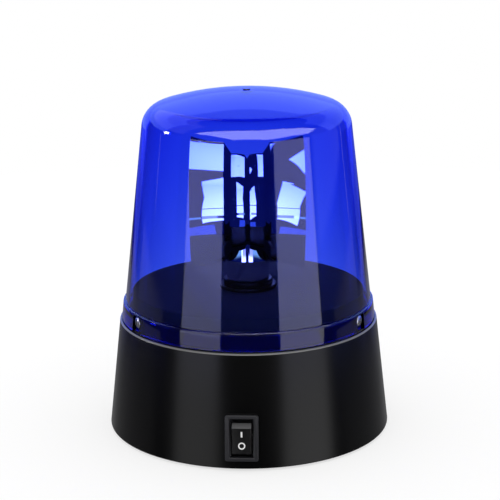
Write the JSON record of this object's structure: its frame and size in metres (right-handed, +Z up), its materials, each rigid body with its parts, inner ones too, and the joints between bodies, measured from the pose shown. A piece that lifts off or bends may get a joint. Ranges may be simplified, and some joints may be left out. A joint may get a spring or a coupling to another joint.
{
  "type": "rotating beacon light",
  "caption": "Battery powered rotating beacon: black conical base with rocker switch, clear blue lens and a chrome two-horn reflector turned by a geared motor.",
  "frame": {"origin": "on the ground under the middle of the base", "axes": "+Z up along the reflector's turning axis, -Y out of the front where the rocker switch is, +X to the right as seen from the front"},
  "size_m": [0.1336, 0.1354, 0.1615],
  "materials": {
    "black_plastic": "fine satin moulded black",
    "black_fittings": "smooth black",
    "switch_plastic": "satin dark grey",
    "blue_lens": "clear polished blue plastic",
    "chrome_reflector": "bright metallised mirror",
    "screw_steel": "zinc plated",
    "plate_steel": "bright rolled steel",
    "magnet_ferrite": "dark sintered",
    "brass": "machined",
    "rubber": "matt",
    "white_plastic": "natural moulded",
    "led_clear": "clear",
    "board_green": "solder mask",
    "cell_jacket": "printed jacket, plain",
    "capacitor_sleeve": "shrink sleeve",
    "lead_cover": "soft vinyl"
  },
  "bodies": {
    "base": {"base_housing": "black_plastic", "bottom_plate": "black_plastic", "bottom_screw_1": "screw_steel", "bottom_screw_2": "screw_steel", "bottom_screw_3": "screw_steel", "foot_1": "rubber", "foot_2": "rubber", "foot_3": "rubber", "foot_4": "rubber", "deck_plate": "black_plastic", "deck_screw_1": "screw_steel", "deck_screw_2": "screw_steel", "deck_screw_3": "screw_steel", "lens_dome": "blue_lens", "lens_seal": "rubber", "lens_screw_1": "screw_steel", "lens_screw_2": "screw_steel", "lens_screw_3": "screw_steel", "gear_plate": "plate_steel", "gear_plate_screw_1": "screw_steel", "gear_plate_screw_2": "screw_steel", "gear_plate_screw_3": "screw_steel", "bearing_bush": "black_fittings", "lamp_post": "black_fittings", "lamp_holder": "white_plastic", "led_1": "led_clear", "led_2": "led_clear", "motor_can": "plate_steel", "motor_end_cap": "white_plastic", "motor_magnet_1": "magnet_ferrite", "motor_magnet_2": "magnet_ferrite", "motor_screw_1": "screw_steel", "motor_screw_2": "screw_steel", "battery_cell_1": "cell_jacket", "battery_cell_2": "cell_jacket", "battery_cell_3": "cell_jacket", "battery_contact_1": "plate_steel", "battery_contact_2": "plate_steel", "battery_contact_3": "plate_steel", "battery_contact_4": "plate_steel", "control_board": "board_green", "capacitor": "capacitor_sleeve", "driver_chip": "black_fittings", "switch_housing": "switch_plastic", "switch_terminal_1": "brass", "switch_terminal_2": "brass", "lead_switch_1": "lead_cover", "lead_switch_2": "lead_cover", "lead_motor_1": "lead_cover", "lead_motor_2": "lead_cover", "lead_lamp": "lead_cover"},
    "rotor": {"rotor_gear": "white_plastic", "rotor_collar": "black_fittings", "reflector_lower": "chrome_reflector", "reflector_upper": "chrome_reflector"},
    "motor_shaft": {"motor_shaft": "plate_steel", "motor_pinion": "brass"},
    "rocker": {"rocker": "switch_plastic"},
    "battery_door": {"battery_door": "black_plastic"}
  },
  "joints": [
    {"name": "rotor_spin", "type": "hinge", "parent": "base", "child": "rotor", "pos_m": [0, 0, 0.0672], "axis": [0, 0, 1], "continuous": true},
    {"name": "motor_spin", "type": "hinge", "parent": "base", "child": "motor_shaft", "pos_m": [0, 0.03, 0.054], "axis": [0, 0, 1], "continuous": true},
    {"name": "rocker_tilt", "type": "hinge", "parent": "base", "child": "rocker", "pos_m": [-0.00326, -0.06221, 0.01496], "axis": [0.9986, -0.0523, 0], "range_deg": [-24, 0]},
    {"name": "battery_door_slide", "type": "slide", "parent": "base", "child": "battery_door", "axis": [1, 0, 0], "range_m": [0, 0.01]}
  ],
  "couplings": [
    {"joint": "motor_spin", "follows": "rotor_spin", "ratio": -4}
  ]
}
